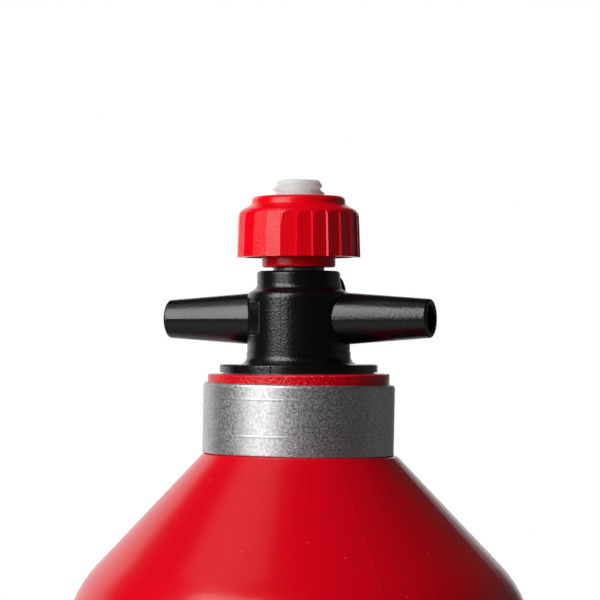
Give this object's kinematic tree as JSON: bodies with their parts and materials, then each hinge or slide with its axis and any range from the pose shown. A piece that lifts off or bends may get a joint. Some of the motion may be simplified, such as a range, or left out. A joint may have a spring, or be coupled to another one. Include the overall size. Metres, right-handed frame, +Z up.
{
  "type": "camping fuel bottle",
  "caption": "Red plastic fuel bottle with a metal-banded neck and a black screw-in push valve with a pouring arm, an air arm and a locking knob.",
  "frame": {"origin": "centre of the bottle's standing ring, on the surface that it stands on", "axes": "+Z up the bottle's axis, through the knob; +X along the pouring arm; the air arm points to -X"},
  "size_m": [0.09, 0.09, 0.265],
  "materials": {
    "bottle_red": "blow-moulded polyethylene, satin, dyed red through",
    "knob_red": "injection-moulded, satin, dyed red through",
    "valve_black": "injection-moulded, fine spark texture",
    "ring_steel": "zinc-plated, mottled and dull",
    "screw_steel": "stainless, bright",
    "spindle_white": "natural nylon, slightly translucent",
    "seal_rubber": "fuel-proof rubber, dull"
  },
  "bodies": {
    "bottle": {"bottle_body": "bottle_red", "neck_ring": "ring_steel"},
    "gasket": {"flange_gasket": "seal_rubber"},
    "valve": {"valve_body": "valve_black", "spring_cage": "valve_black", "return_spring": "screw_steel"},
    "plunger": {"spindle": "spindle_white", "stem_seal": "seal_rubber", "stem_o_ring": "seal_rubber", "valve_head": "valve_black", "head_seal": "seal_rubber", "head_washer": "screw_steel", "head_screw": "screw_steel"},
    "lock_ring": {"knob_lock_ring": "seal_rubber"},
    "knob": {"knob": "knob_red"}
  },
  "joints": [
    {"name": "valve_lift", "type": "slide", "parent": "bottle", "child": "gasket", "axis": [0, 0, 1], "range_m": [0, 0.0105]},
    {"name": "valve_turn", "type": "hinge", "parent": "gasket", "child": "valve", "pos_m": [0, 0, 0.2281], "axis": [0, 0, 1], "range_deg": [0, 1260]},
    {"name": "push", "type": "slide", "parent": "valve", "child": "plunger", "axis": [0, 0, -1], "range_m": [0, 0.00065], "stiffness_N_per_m": 1500, "springref_m": -0.0035, "deforming": ["return_spring"]},
    {"name": "knob_lift", "type": "slide", "parent": "plunger", "child": "lock_ring", "axis": [0, 0, 1], "range_m": [0, 0.003]},
    {"name": "knob_turn", "type": "hinge", "parent": "lock_ring", "child": "knob", "pos_m": [0, 0, 0.25], "axis": [0, 0, 1], "range_deg": [0, 720]}
  ],
  "couplings": [
    {"joint": "valve_lift", "follows": "valve_turn", "m_per_rad": 0.00047746},
    {"joint": "knob_lift", "follows": "knob_turn", "m_per_rad": 0.00023873}
  ]
}
